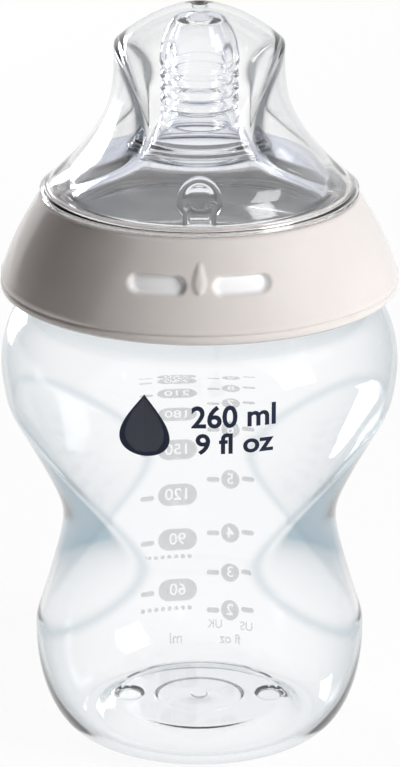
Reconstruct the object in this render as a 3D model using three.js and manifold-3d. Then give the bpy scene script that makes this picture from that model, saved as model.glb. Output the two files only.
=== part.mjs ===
// Wide-neck baby bottle: clear bottle with side grips, silicone teat with its air valve,
// screw ring and clear hood. Millimetres, +Z up. The origin is the centre of the foot,
// and the front of the bottle faces -Y.
import * as THREE from 'three';
import { mergeVertices } from 'three/addons/utils/BufferGeometryUtils.js';
import Module from 'manifold-3d';

const wasm = await Module();
wasm.setup();

// ---------------------------------------------------------------- driving dimensions

// Bottle
const footRadius = 22.8;        // outer edge of the flat contact ring
const footWidth = 3.4;          // width of the contact ring
const baseRise = 3.0;           // how far the middle of the base is pushed up
const lobeRadius = 31.6;        // widest part of the lower half
const lobeHeight = 19;
const waistRadius = 31.8;       // at the front and back, between the grips
const waistHeight = 44.2;
const shoulderRadius = 37.4;
const shoulderHeight = 73.5;
const bodyHeight = 87.2;        // foot to the root of the neck
const bottleWall = 1.2;

// Side grips of the bottle: two scoops, each an arc seen from above
const gripHalfWidth = 26.3;     // axis to the deepest line of a grip
const gripReach = 10.8;         // how far past the axis the centre of the arc lies
const gripBlend = 6;            // length over which the two slopes meet
const gripSlopeAbove = 0.58;
const gripSlopeBelow = 0.33;

// Neck and its thread
const neckRadius = 27.6;
const neckWall = 1.6;
const neckHeight = 14.2;
const threadPitch = 4;
const threadDepth = 1.1;
const threadTurns = 1.25;
const threadRootWidth = 2.0;
const threadCrestWidth = 1.0;
const threadDrop = 4.6;         // neck rim to the top end of the thread
const threadBite = 0.4;         // how far a thread is sunk into its wall
const threadGap = 0.4;          // radial clearance of the threads

// Screw ring
const ringGap = 0.8;            // shoulder root to the bottom edge of the ring
const ringFlare = 7.3;          // bottom band past the top edge
const ringTopLand = 0.8;        // top edge past the threaded bore
const ringBandHeight = 3.3;
const ringBandStep = 0.35;
const ringSkirtWall = 1.5;
const ringThreadWall = 1.6;
const ringTopThickness = 2.05;
const ringLipInset = 1.0;       // hole in the top, inside the outside of the neck
const ringBulge = 1.15;         // how far the skirt swells past a straight cone
const grooveTopDrop = 7.2;      // ring top to the top of the groove between its two walls
const snapLipHeight = 1.3;      // lip that the hood snaps over
const snapLipWall = 1.2;
const snapGap = 0.5;            // lip to the inside of the hood's rim

// Teat
const teatWall = 1.5;
const flangeThickness = 1.6;
const flangeOverhang = 1.0;     // flange past the outside of the neck
const collarRise = 3.0;         // raised seat of the dome, flange to its shelf
const domeInset = 2.4;          // foot of the dome inside the ring's hole
const domeHeight = 10.9;        // from the centre of the dome's arc to its crown
const domeArcRadius = 11.2;
const nippleRadius = 7.3;
const nippleLumen = 5.0;
const nippleHeight = 24.0;      // dome crown to the tip
const nippleBulbHeight = 8.8;   // tip to the end of the bulb
const tipRadius = 3.4;
const tipThickness = 1.4;
const feedHoleRadius = 0.5;
const ribCount = 4;
const ribPitch = 2.3;
const ribDepth = 0.45;
const bellowsStep = 1.45;

// Air valve, moulded with the teat
const valveRadius = 4.0;
const valveThickness = 1.8;
const valveStemWidth = 6.0;
const valveHeight = 7.1;        // underside of the flange to the centre of the disc
const valveOffset = 15.6;       // axis to the middle of the disc

// Hood
const hoodWall = 1.3;
const hoodRimInset = 0.3;       // rim inside the ring's top edge
const hoodRimHeight = 1.0;
const hoodHeadroom = 1.1;       // teat tip to the inside of the crown
const hoodTaper = 4.2;          // waist inside the rim
const hoodWaistHeight = 10.1;   // rim to the foot of the dome
const hoodDomePower = 1.7;      // 2 is an ellipse, less is more pointed
const hoodGripDepth = 12.1;     // rim to the middle of a grip, towards the axis
const hoodGripHeight = 15.2;    // rim to the middle of the grips' bend
const hoodGripReach = 19.8;
const hoodGripBlend = 8.2;
const hoodGripSlopeAbove = 0.1;
const hoodGripSlopeBelow = 0.96;
const hoodGripFade = 5.5;       // height over which the grips run out towards the rim
const hoodGripLift = 3;         // how far they have run out at the rim
const gateRadius = 1.5;         // moulding dimple in the crown
const gateDepth = 0.45;

const seatGap = 0.3;            // clearance between pieces that rest on each other
const slipGap = 0.4;            // clearance between pieces that slide past each other

// Facets
const turnSteps = 36;           // round a plain turned piece
const creaseSteps = 4;          // from the middle of a grip to its crease, per quarter
const faceSteps = 5;            // from a crease to the middle of the front, per quarter
const leastCrease = 0.2;        // smallest angle kept for the crease line, radians

// ---------------------------------------------------------------- places that follow

const neckTop = bodyHeight + neckHeight;
const flangeBottom = neckTop + seatGap;
const flangeTop = flangeBottom + flangeThickness;
const ringBottom = bodyHeight + ringGap;
const ringLipBottom = flangeTop + seatGap;
const ringTop = ringLipBottom + ringTopThickness;
const ringBore = neckRadius + threadDepth + threadGap;
const ringTopRadius = ringBore + ringTopLand;
const ringRadius = ringTopRadius + ringFlare;
const ringHoleRadius = neckRadius - ringLipInset;
const domeRadius = ringHoleRadius - domeInset;
const shelfTop = flangeTop + collarRise;
const domeCentre = shelfTop - 1.8;
const domeCrown = domeCentre + domeHeight;
const teatTop = domeCrown + nippleHeight;
const hoodRimRadius = ringTopRadius - hoodRimInset;
const hoodWaistRadius = hoodRimRadius - hoodTaper;
const hoodGripHalfWidth = hoodRimRadius - hoodGripDepth;
const hoodBottom = ringTop + seatGap;
const hoodTop = teatTop + hoodHeadroom + hoodWall;
const hoodHeight = hoodTop - hoodBottom;

// ---------------------------------------------------------------- shared helpers

const lerp = THREE.MathUtils.lerp;
const steps = (count) => Array.from({ length: count + 1 }, (_, i) => i / count);

// Points of a quarter ellipse from angle `from` to `to`, as [radius, height].
function arcPoints(centre, height, radiusX, radiusZ, from, to, count) {
  return steps(count).map((t) => {
    const angle = lerp(from, to, t);
    return [centre + radiusX * Math.cos(angle), height + radiusZ * Math.sin(angle)];
  });
}

// A valley with a flat-bottomed bend: 0 at the bottom, then a slope on either side.
function valley(offset, blend, above, below) {
  const bend = Math.hypot(offset, blend) - blend;
  return (above + below) / 2 * bend + (above - below) / 2 * offset;
}

// One section of a turned form that two side grips may cut: `round` is its full radius,
// `grip` the distance from the axis to the grips, `reach` how far past the axis the
// grip arc is centred.
function gripSection(round, grip, reach, z) {
  const arcRadius = grip + reach;
  const creaseX = grip - (round * round - grip * grip) / (2 * reach);
  const ratio = THREE.MathUtils.clamp(creaseX / round, -1, 1);
  const crease = Math.max(Math.acos(ratio), leastCrease);
  const radiusAt = (angle) => {
    const c = Math.abs(Math.cos(angle));
    const s = Math.sin(angle);
    const arc = Math.sqrt(Math.max(arcRadius * arcRadius - reach * reach * s * s, 0)) - reach * c;
    return Math.min(round, arc);
  };
  return { z, crease, radiusAt };
}

const plainSection = ([round, z]) => ({ z, crease: Math.PI / 4, radiusAt: () => round });

// The angles of one section, with a vertex line on each crease.
function sectionAngles(crease) {
  const quarter = [];
  for (let i = 0; i < creaseSteps; i++) quarter.push(crease * i / creaseSteps);
  for (let i = 0; i < faceSteps; i++) quarter.push(lerp(crease, Math.PI / 2, i / faceSteps));
  const mirrored = quarter.slice(1).reverse().map((a) => Math.PI - a);
  const half = [...quarter, Math.PI / 2, ...mirrored];
  return [...half, ...half.map((a) => a + Math.PI)];
}

const evenAngles = Array.from({ length: turnSteps }, (_, i) => 2 * Math.PI * i / turnSteps);

// A closed skin over a run of sections. A first and last point on the axis close it;
// otherwise the last section joins the first.
function skin(sections, anglesOf) {
  const positions = [];
  const indices = [];
  const rows = sections.map((section) => {
    if (section.axis !== undefined) {
      positions.push(0, 0, section.axis);
      return [positions.length / 3 - 1];
    }
    return anglesOf(section).map((angle) => {
      const radius = section.radiusAt(angle);
      positions.push(radius * Math.cos(angle), radius * Math.sin(angle), section.z);
      return positions.length / 3 - 1;
    });
  });
  const joins = rows[0].length === 1 ? rows.length - 1 : rows.length;
  for (let i = 0; i < joins; i++) {
    const low = rows[i];
    const high = rows[(i + 1) % rows.length];
    const count = Math.max(low.length, high.length);
    for (let k = 0; k < count; k++) {
      const next = (k + 1) % count;
      if (low.length > 1) indices.push(low[k], low[next], high[k % high.length]);
      if (high.length > 1) indices.push(low[next % low.length], high[next], high[k]);
    }
  }
  const geometry = new THREE.BufferGeometry();
  geometry.setAttribute('position', new THREE.Float32BufferAttribute(positions, 3));
  geometry.setIndex(indices);
  return facingOut(geometry);
}

// Turns the faces round if they face inwards.
function facingOut(geometry) {
  const p = geometry.attributes.position;
  const index = geometry.index.array;
  const [a, b, c] = [new THREE.Vector3(), new THREE.Vector3(), new THREE.Vector3()];
  let volume = 0;
  for (let i = 0; i < index.length; i += 3) {
    a.fromBufferAttribute(p, index[i]);
    b.fromBufferAttribute(p, index[i + 1]);
    c.fromBufferAttribute(p, index[i + 2]);
    volume += a.dot(b.cross(c));
  }
  if (volume < 0) {
    for (let i = 0; i < index.length; i += 3) [index[i], index[i + 1]] = [index[i + 1], index[i]];
  }
  return geometry;
}

const turned = (outline) => skin(outline.map(plainSection), () => evenAngles);
const gripped = (sections) => skin(sections, (section) => sectionAngles(section.crease));

// Boolean joins and cuts of closed geometries.
function solidOf(geometry) {
  const bare = geometry.clone();
  bare.deleteAttribute('normal');
  bare.deleteAttribute('uv');
  const merged = mergeVertices(bare, 1e-4);
  return new wasm.Manifold(new wasm.Mesh({
    numProp: 3,
    vertProperties: new Float32Array(merged.attributes.position.array),
    triVerts: new Uint32Array(merged.index.array),
  }));
}

function geometryOf(solid) {
  const mesh = solid.getMesh();
  const geometry = new THREE.BufferGeometry();
  geometry.setAttribute('position', new THREE.BufferAttribute(mesh.vertProperties, 3));
  geometry.setIndex(new THREE.BufferAttribute(mesh.triVerts, 1));
  return geometry;
}

const joined = (first, ...rest) =>
  geometryOf(rest.reduce((solid, other) => solid.add(solidOf(other)), solidOf(first)));
const cut = (first, ...rest) =>
  geometryOf(rest.reduce((solid, other) => solid.subtract(solidOf(other)), solidOf(first)));

// A helical ridge on a cylindrical wall. `side` is 1 for an outside thread and -1 for an
// inside one. Both ends taper away.
function threadRidge(wallRadius, side, startHeight) {
  const segments = Math.round(turnSteps * threadTurns);
  const taper = 5;
  const positions = [];
  const indices = [];
  for (let i = 0; i <= segments; i++) {
    const angle = 2 * Math.PI * i / turnSteps;
    const height = startHeight + threadPitch * i / turnSteps;
    const fade = Math.min(1, (Math.min(i, segments - i) + 0.5) / taper);
    const root = wallRadius - side * threadBite;
    const crest = wallRadius + side * threadDepth * fade;
    const section = [
      [root, -threadRootWidth / 2], [crest, -threadCrestWidth / 2],
      [crest, threadCrestWidth / 2], [root, threadRootWidth / 2],
    ];
    for (const [radius, rise] of section) {
      positions.push(radius * Math.cos(angle), radius * Math.sin(angle), height + rise);
    }
  }
  for (let i = 0; i < segments; i++) {
    for (let k = 0; k < 4; k++) {
      const [a, b] = [i * 4 + k, i * 4 + (k + 1) % 4];
      indices.push(a, b, b + 4, a, b + 4, a + 4);
    }
  }
  const last = segments * 4;
  indices.push(0, 2, 1, 0, 3, 2, last, last + 1, last + 2, last, last + 2, last + 3);
  const geometry = new THREE.BufferGeometry();
  geometry.setAttribute('position', new THREE.Float32BufferAttribute(positions, 3));
  geometry.setIndex(indices);
  return facingOut(geometry);
}

// ---------------------------------------------------------------- bottle

// Full radius of the bottle's side: an elliptical foot, a straight lower half, a smooth
// swell to the shoulder and an elliptical shoulder. `inset` is 0 outside, a wall inside.
function bottleRound(z, inset) {
  const root = neckRadius + 1;
  if (z < lobeHeight) {
    const u = (lobeHeight - z) / (lobeHeight - inset);
    return footRadius - inset + (lobeRadius - footRadius) * Math.sqrt(Math.max(1 - u * u, 0));
  }
  if (z < waistHeight) {
    return lerp(lobeRadius, waistRadius, (z - lobeHeight) / (waistHeight - lobeHeight)) - inset;
  }
  if (z < shoulderHeight) {
    const t = (z - waistHeight) / (shoulderHeight - waistHeight);
    return lerp(waistRadius, shoulderRadius, t * t * (3 - 2 * t)) - inset;
  }
  const u = (z - shoulderHeight) / (bodyHeight - inset - shoulderHeight);
  return root - inset + (shoulderRadius - root) * Math.sqrt(Math.max(1 - u * u, 0));
}

function bottleSection(z, inset) {
  const grip = gripHalfWidth + valley(z - waistHeight, gripBlend, gripSlopeAbove, gripSlopeBelow);
  return gripSection(bottleRound(z, inset), grip - inset, gripReach, z);
}

// Heights of the side's sections from the foot to the root of the neck.
function bottleHeights(inset) {
  const foot = steps(6).map((t) => lobeHeight - (lobeHeight - inset) * Math.cos(t * Math.PI / 2));
  const gripsTop = lerp(waistHeight, shoulderHeight, 0.8);
  const middle = steps(10).slice(1).map((t) => lerp(lobeHeight, gripsTop, t));
  const top = bodyHeight - inset - shoulderHeight;
  const shoulder = steps(6).map((t) => shoulderHeight + top * Math.sin(t * Math.PI / 2));
  return [...foot, ...middle, ...shoulder];
}

function bottleGeometry() {
  const footInner = footRadius - footWidth;
  const base = [
    [footInner * 0.5, baseRise], [footInner - 2.4, baseRise], [footInner - 0.8, 0.8], [footInner, 0],
  ];
  const innerBase = baseRise + bottleWall;
  const innerFoot = footRadius - bottleWall;
  const outside = bottleHeights(0).map((z) => bottleSection(z, 0));
  const inside = bottleHeights(bottleWall).map((z) => bottleSection(z, bottleWall)).reverse();
  const neckBore = neckRadius - neckWall;
  const neck = [
    [neckRadius, bodyHeight + 1], [neckRadius, neckTop - 0.4], [neckRadius - 0.4, neckTop],
    [neckBore + 0.3, neckTop], [neckBore, neckTop - 0.3], [neckBore, bodyHeight - bottleWall],
  ];
  const floor = [
    [footInner + 0.6, bottleWall + 0.6], [footInner - 2.0, innerBase], [innerFoot * 0.4, innerBase],
  ];
  const body = gripped([
    { axis: baseRise }, ...base.map(plainSection), ...outside, ...neck.map(plainSection),
    ...inside, ...floor.map(plainSection), { axis: innerBase },
  ]);
  const threadStart = neckTop - threadDrop - threadPitch * threadTurns;
  return joined(body, threadRidge(neckRadius, 1, threadStart));
}

// ---------------------------------------------------------------- teat

// Outside and inside of the ribbed stretch below the nipple's bulb.
function ribbed(radius, depth, fromHeight, upwards) {
  const perRib = 3;
  const points = steps(ribCount * perRib).map((t) => {
    const height = fromHeight + ribCount * ribPitch * t;
    return [radius - depth * (1 - Math.cos(2 * Math.PI * ribCount * t)) / 2, height];
  });
  return upwards ? points : points.reverse();
}

function teatGeometry() {
  const flangeRadius = neckRadius + flangeOverhang;
  const seatRadius = ringHoleRadius - slipGap;
  const arcCentre = domeRadius - domeArcRadius;
  const bulbBottom = teatTop - nippleBulbHeight;
  const ribsBottom = bulbBottom - ribCount * ribPitch;
  const crownOuter = [arcCentre - bellowsStep, domeCrown + 0.7];
  const outer = [
    [feedHoleRadius, teatTop], [tipRadius, teatTop], [tipRadius + 1.2, teatTop - 0.6],
    ...arcPoints(tipRadius, bulbBottom, nippleRadius - tipRadius, nippleBulbHeight - 0.6, 1.1, 0, 6),
    ...ribbed(nippleRadius - 0.1, ribDepth, ribsBottom, false),
    [nippleRadius + 1.1, lerp(ribsBottom, domeCrown, 0.45)],
    [arcCentre - 2 * bellowsStep, domeCrown + 1.9], [crownOuter[0] - 0.2, domeCrown + 1.6],
    crownOuter, [arcCentre - 0.2, domeCrown + 0.3],
    ...arcPoints(arcCentre, domeCentre, domeArcRadius, domeHeight, Math.PI / 2, 0.17, 8),
    [domeRadius + 0.6, shelfTop - 0.2], [seatRadius - 0.5, shelfTop], [seatRadius, shelfTop - 0.5],
    [seatRadius, flangeTop], [flangeRadius, flangeTop], [flangeRadius, flangeBottom],
  ];
  const innerArc = domeArcRadius - teatWall;
  const lumenTop = teatTop - tipThickness;
  const inner = [
    [seatRadius - 1.6, flangeBottom], [domeRadius - teatWall, flangeTop],
    ...arcPoints(arcCentre, domeCentre, innerArc, domeHeight - teatWall, 0.05, Math.PI / 2, 8),
    [arcCentre - bellowsStep, domeCrown - teatWall + 0.9],
    [arcCentre - 2 * bellowsStep, domeCrown - teatWall + 1.5],
    [nippleLumen + 0.9, lerp(ribsBottom, domeCrown, 0.45)],
    ...ribbed(nippleLumen, -ribDepth / 2, ribsBottom, true),
    [nippleLumen - 0.2, lerp(bulbBottom, lumenTop, 0.5)], [tipRadius, lumenTop - 0.4],
    [feedHoleRadius, lumenTop],
  ];
  return joined(turned([...outer, ...inner]), valveGeometry());
}

// The valve: a disc that faces the front on a flat stem, tied to the seat by a foot.
function valveGeometry() {
  const half = valveStemWidth / 2;
  const meet = Math.asin(half / valveRadius);
  const outline = new THREE.Shape();
  outline.moveTo(-half, 0);
  outline.lineTo(half, 0);
  outline.absarc(0, valveHeight, valveRadius, meet - Math.PI / 2, 1.5 * Math.PI - meet, false);
  outline.closePath();
  const disc = new THREE.ExtrudeGeometry(outline, {
    depth: valveThickness, bevelEnabled: false, curveSegments: 24,
  });
  disc.rotateX(Math.PI / 2);
  disc.translate(0, -valveOffset + valveThickness / 2, flangeBottom);
  const seat = domeRadius - teatWall / 2;
  const foot = new THREE.BoxGeometry(valveStemWidth - 0.4, seat - valveOffset, flangeThickness - 0.2);
  foot.translate(0, -(seat + valveOffset) / 2, (flangeBottom + flangeTop) / 2);
  return joined(disc, foot);
}

// ---------------------------------------------------------------- screw ring

function ringGeometry() {
  const bandTop = ringBottom + ringBandHeight;
  const skirtFoot = ringRadius - ringBandStep;
  const skirtPoint = (t, inset) => [
    lerp(skirtFoot, ringTopRadius, t) + ringBulge * 4 * t * (1 - t) - inset,
    lerp(bandTop, ringTop - 0.3, t),
  ];
  const grooveTop = ringTop - grooveTopDrop;
  const grooveWall = ringBore + ringThreadWall;
  const lipOuter = hoodRimRadius - hoodWall - snapGap;
  const outline = [
    [ringRadius - 0.5, ringBottom], [ringRadius, ringBottom + 0.6], [ringRadius, bandTop - 0.4],
    ...steps(9).map((t) => skirtPoint(t, 0)), [ringTopRadius - 0.3, ringTop],
    [lipOuter, ringTop], [lipOuter, ringTop + snapLipHeight - 0.3],
    [lipOuter - 0.3, ringTop + snapLipHeight], [lipOuter - snapLipWall, ringTop + snapLipHeight],
    [ringHoleRadius, ringTop], [ringHoleRadius, ringLipBottom], [ringBore, ringLipBottom],
    [ringBore, ringBottom + 0.9], [ringBore + 0.4, ringBottom + 0.5],
    [grooveWall, ringBottom + 0.5], [grooveWall, grooveTop], [grooveWall + 0.8, grooveTop],
    [skirtFoot - ringSkirtWall, bandTop], [ringRadius - ringSkirtWall, ringBottom],
  ];
  const threadStart = neckTop - threadDrop - threadPitch * (threadTurns + 0.5);
  return joined(turned(outline), threadRidge(ringBore, -1, threadStart));
}

// ---------------------------------------------------------------- hood

function hoodRound(z, inset) {
  const rise = z - hoodBottom;
  if (rise <= hoodRimHeight) return hoodRimRadius - inset;
  if (rise < hoodWaistHeight) {
    const u = (hoodWaistHeight - rise) / (hoodWaistHeight - hoodRimHeight);
    return lerp(hoodWaistRadius, hoodRimRadius, u * u) - inset;
  }
  const u = (rise - hoodWaistHeight) / (hoodHeight - inset - hoodWaistHeight);
  const swell = Math.pow(Math.max(1 - Math.pow(u, hoodDomePower), 0), 1 / hoodDomePower);
  return (hoodWaistRadius - inset) * swell;
}

function hoodSection(z, inset) {
  const rise = z - hoodBottom;
  const fade = Math.max(0, 1 - rise / hoodGripFade);
  const grip = hoodGripHalfWidth + hoodGripLift * fade * fade
    + valley(rise - hoodGripHeight, hoodGripBlend, hoodGripSlopeAbove, hoodGripSlopeBelow);
  return gripSection(hoodRound(z, inset), grip - inset, hoodGripReach, z);
}

function hoodHeights(inset) {
  const rim = [hoodBottom, hoodBottom + hoodRimHeight];
  const waist = hoodBottom + hoodWaistHeight;
  const flare = steps(5).slice(1).map((t) => lerp(rim[1], waist, t));
  const top = hoodTop - inset - waist;
  const dome = steps(11).slice(1, -1).map((t) => waist + top * Math.sin(t * Math.PI / 2));
  return [...rim, ...flare, ...dome];
}

function hoodGeometry() {
  const outside = hoodHeights(0).map((z) => hoodSection(z, 0)).reverse();
  const inside = hoodHeights(hoodWall).map((z) => hoodSection(z, hoodWall));
  const shell = gripped([{ axis: hoodTop }, ...outside, ...inside, { axis: hoodTop - hoodWall }]);
  const gate = new THREE.CylinderGeometry(gateRadius, gateRadius, 2 * gateDepth, 20);
  gate.rotateX(Math.PI / 2);
  gate.translate(0, 0, hoodTop);
  return cut(shell, gate);
}

// ---------------------------------------------------------------- assembly

const clearPlastic = { color: 0xe9eef1, roughness: 0.08, metalness: 0, transparent: true };
const pieces = [
  ['bottle_body', bottleGeometry(), { ...clearPlastic, opacity: 0.35 }],
  ['teat', teatGeometry(), { color: 0xe4e8ec, roughness: 0.2, transparent: true, opacity: 0.5 }],
  ['screw_ring', ringGeometry(), { color: 0xc9c1bc, roughness: 0.15, metalness: 0 }],
  ['hood', hoodGeometry(), { ...clearPlastic, opacity: 0.3 }],
];

const bottle = new THREE.Group();
for (const [name, geometry, finish] of pieces) {
  const mesh = new THREE.Mesh(geometry, new THREE.MeshStandardMaterial(finish));
  mesh.name = name;
  bottle.add(mesh);
}

export default bottle;
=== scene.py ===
"""Baby bottle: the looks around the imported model. Blender 4.5, metres, +Z up, front towards -Y.

The four CAD pieces are replaced by fine meshes made from the same formulas, and the
bottle gets its printed scale. Lengths in this file are millimetres until a mesh is made.
"""
import math

import bpy
import numpy as np
from mathutils import Euler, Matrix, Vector


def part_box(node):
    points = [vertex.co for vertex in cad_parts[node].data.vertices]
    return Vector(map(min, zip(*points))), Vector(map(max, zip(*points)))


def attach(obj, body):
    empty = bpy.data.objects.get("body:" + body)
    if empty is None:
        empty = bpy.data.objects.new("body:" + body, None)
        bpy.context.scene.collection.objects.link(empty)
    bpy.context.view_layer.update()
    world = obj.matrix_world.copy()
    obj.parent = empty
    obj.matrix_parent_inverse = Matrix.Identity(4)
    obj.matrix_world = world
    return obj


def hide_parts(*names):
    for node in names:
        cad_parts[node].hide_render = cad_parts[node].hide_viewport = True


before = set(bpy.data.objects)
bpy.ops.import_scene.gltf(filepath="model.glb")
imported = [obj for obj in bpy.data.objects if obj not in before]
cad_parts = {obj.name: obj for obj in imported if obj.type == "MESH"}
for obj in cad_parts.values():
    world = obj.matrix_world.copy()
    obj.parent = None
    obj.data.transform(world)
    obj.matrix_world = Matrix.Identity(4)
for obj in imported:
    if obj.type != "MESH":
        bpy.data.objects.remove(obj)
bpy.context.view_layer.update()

MM = 0.001


# ------------------------------------------------------------------ sizes from the frame

def box_mm(node):
    low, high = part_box(node)
    return [v / MM for v in low], [v / MM for v in high]


BOTTLE_LOW, BOTTLE_HIGH = box_mm("bottle_body")
RING_LOW, RING_HIGH = box_mm("screw_ring")
TEAT_LOW, TEAT_HIGH = box_mm("teat")
HOOD_LOW, HOOD_HIGH = box_mm("hood")

# Bottle, as in the CAD source
SHOULDER_RADIUS = BOTTLE_HIGH[0]
NECK_TOP = BOTTLE_HIGH[2]
NECK_HEIGHT = 14.2
BODY_HEIGHT = NECK_TOP - NECK_HEIGHT
FOOT_RADIUS, FOOT_WIDTH, BASE_RISE = 22.8, 3.4, 3.0
LOBE_RADIUS, LOBE_HEIGHT = 31.6, 19.0
WAIST_RADIUS, WAIST_HEIGHT = 31.8, 44.2
SHOULDER_HEIGHT = 73.5
BOTTLE_WALL = 1.2
GRIP_HALF, GRIP_REACH, GRIP_BLEND = 26.3, 10.8, 6.0
GRIP_ABOVE, GRIP_BELOW = 0.58, 0.33
NECK_RADIUS, NECK_WALL = 27.6, 1.6
THREAD_PITCH, THREAD_DEPTH, THREAD_TURNS, THREAD_DROP = 4.0, 1.1, 1.25, 4.6

# Screw ring
RING_RADIUS = RING_HIGH[0]
RING_BOTTOM = RING_LOW[2]
SNAP_LIP = 1.3
RING_TOP = RING_HIGH[2] - SNAP_LIP
RING_BORE = NECK_RADIUS + THREAD_DEPTH + 0.4
RING_TOP_RADIUS = RING_BORE + 0.8
RING_HOLE = NECK_RADIUS - 1.0
RING_BAND, RING_BULGE = 3.3, 0.6

# Teat
FLANGE_RADIUS = TEAT_HIGH[0]
FLANGE_BOTTOM = TEAT_LOW[2]
FLANGE_TOP = FLANGE_BOTTOM + 1.6
TEAT_TOP = TEAT_HIGH[2]
TEAT_WALL = 1.5
SHELF_TOP = FLANGE_TOP + 3.0
DOME_RADIUS, DOME_ARC, DOME_HEIGHT = RING_HOLE - 2.4, 11.2, 10.9
DOME_CENTRE = SHELF_TOP - 1.8
DOME_CROWN = DOME_CENTRE + DOME_HEIGHT
NIPPLE_RADIUS, NIPPLE_LUMEN, TIP_RADIUS, BULB_HEIGHT = 7.3, 5.0, 3.4, 8.8
RIB_COUNT, RIB_PITCH = 4, 2.3
VALVE_RADIUS, VALVE_THICK, VALVE_STEM, VALVE_HEIGHT, VALVE_OFFSET = 4.0, 1.8, 6.0, 7.1, 15.6

# Hood
HOOD_RIM = HOOD_HIGH[0]
HOOD_BOTTOM = HOOD_LOW[2]
HOOD_WALL = 1.3
HOOD_TOP = TEAT_TOP + 1.1 + HOOD_WALL
HOOD_HEIGHT = HOOD_TOP - HOOD_BOTTOM
HOOD_RIM_HEIGHT = 1.0
HOOD_WAIST, HOOD_WAIST_HEIGHT, HOOD_POWER, HOOD_FLARE = HOOD_RIM - 4.2, 10.1, 1.7, 3.0
HOOD_GRIP, HOOD_GRIP_HEIGHT, HOOD_REACH, HOOD_BLEND = HOOD_RIM - 12.1, 15.2, 19.8, 8.2
HOOD_ABOVE, HOOD_BELOW, HOOD_FADE, HOOD_LIFT = 0.1, 0.96, 5.5, 3.0
GATE_RADIUS, GATE_DEPTH = 1.5, 0.45

# Smoothness of the fine meshes
TURN_STEPS = 160
CREASE_STEPS, FACE_STEPS = 18, 22
LEAST_CREASE = 0.2

# How much the creases beside the grips are rounded, outside and inside the wall
OUTER_FILLET, INNER_FILLET = 0.3, 0.5
# The outside lies this much inside the CAD's, so that the ink on it keeps to the CAD's box
INK_ROOM = 0.12
HOOD_OUTER_FILLET, HOOD_INNER_FILLET = 0.4, 1.6

# Painted shade on the bottle, as tints: along the creases, under the collar and at the waist of the grips; and
# none on the lower face of a grip, a painted highlight where it catches the light
CREASE_PAINTED_SHADE, COLLAR_PAINTED_SHADE, COLLAR_SHADE_ABOVE = 0.6, 0.42, 83.0
WAIST_SHADE, WAIST_SHADE_HEIGHT, WAIST_SHADE_REACH, BRIGHT_BELOW = 4.2, 48.5, 9.5, 42.0


# ------------------------------------------------------------------ mesh helpers

def lerp(a, b, t):
    return a + (b - a) * t


def smooth_min(a, b, width):
    """The lower of two values, rounded where they cross."""
    overlap = np.maximum(width - np.abs(a - b), 0) / width
    return np.minimum(a, b) - overlap ** 2 * width / 4


def ease(t):
    t = np.clip(t, 0, 1)
    return t * t * (3 - 2 * t)


def valley(offset, blend, above, below):
    bend = math.hypot(offset, blend) - blend
    return (above + below) / 2 * bend + (above - below) / 2 * offset


def arc(centre, height, radius_x, radius_z, start, end, count):
    """Points of an ellipse's arc, as (radius, height)."""
    angles = np.linspace(start, end, count + 1)
    return [(centre + radius_x * math.cos(a), height + radius_z * math.sin(a)) for a in angles]


def rounded(points, radius=0.3, count=3):
    """An outline with each of its sharp corners turned into a short curve."""
    result = [points[0]]
    for before, corner, after in zip(points, points[1:], points[2:]):
        b, c, a = (np.array(p, float) for p in (before, corner, after))
        into, out = b - c, a - c
        lengths = np.linalg.norm(into), np.linalg.norm(out)
        cosine = np.dot(into, out) / (lengths[0] * lengths[1] + 1e-9)
        if cosine < -0.94:
            result.append(corner)
            continue
        reach = min(radius, lengths[0] * 0.45, lengths[1] * 0.45)
        first, last = c + into / lengths[0] * reach, c + out / lengths[1] * reach
        for t in np.linspace(0, 1, count + 1):
            point = (1 - t) ** 2 * first + 2 * t * (1 - t) * c + t * t * last
            result.append(tuple(point))
    result.append(points[-1])
    return result


def make_object(name, verts_mm, faces, smooth=True):
    verts = np.asarray(verts_mm, float)
    mesh = bpy.data.meshes.new(name)
    mesh.from_pydata([tuple(v) for v in verts[:, :3] * MM], [], faces)
    for layer, column in zip(("ridge", "edge"), verts.T[3:]):
        mesh.attributes.new(layer, "FLOAT", "POINT").data.foreach_set("value", column)
    mesh.validate()
    mesh.update()
    if smooth:
        mesh.polygons.foreach_set("use_smooth", [True] * len(mesh.polygons))
    obj = bpy.data.objects.new(name, mesh)
    bpy.context.scene.collection.objects.link(obj)
    return obj


def skin(name, rows):
    """A closed skin over rows. A row is an (n, 5) array of places, how much painted shade (along the creases
    of the clear pieces) and painted light (inside the ring) each gets as its ridge value, and how strong its
    painted edge shade is, or one such point on the axis. With points on the axis at both ends the skin closes
    there; without, the last row joins the first."""
    verts, starts = [], []
    for row in rows:
        starts.append(len(verts))
        verts.extend(row)
    faces = []
    open_ends = len(rows[0]) == 1
    pairs = zip(range(len(rows)), list(range(1, len(rows))) + ([] if open_ends else [0]))
    for i, j in pairs:
        n, m = len(rows[i]), len(rows[j])
        count = max(n, m)
        for k in range(count):
            nxt = (k + 1) % count
            if n == 1:
                faces.append((starts[i], starts[j] + nxt, starts[j] + k))
            elif m == 1:
                faces.append((starts[i] + k, starts[i] + nxt, starts[j]))
            else:
                faces.append((starts[i] + k, starts[i] + nxt, starts[j] + nxt, starts[j] + k))
    if signed_volume(np.array(verts, float)[:, :3], faces) < 0:
        faces = [tuple(reversed(f)) for f in faces]
    return make_object(name, verts, faces)


def signed_volume(verts, faces):
    total = 0.0
    for face in faces:
        a = verts[face[0]]
        for b, c in zip(face[1:], face[2:]):
            total += np.dot(a, np.cross(verts[b], verts[c]))
    return total


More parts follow.
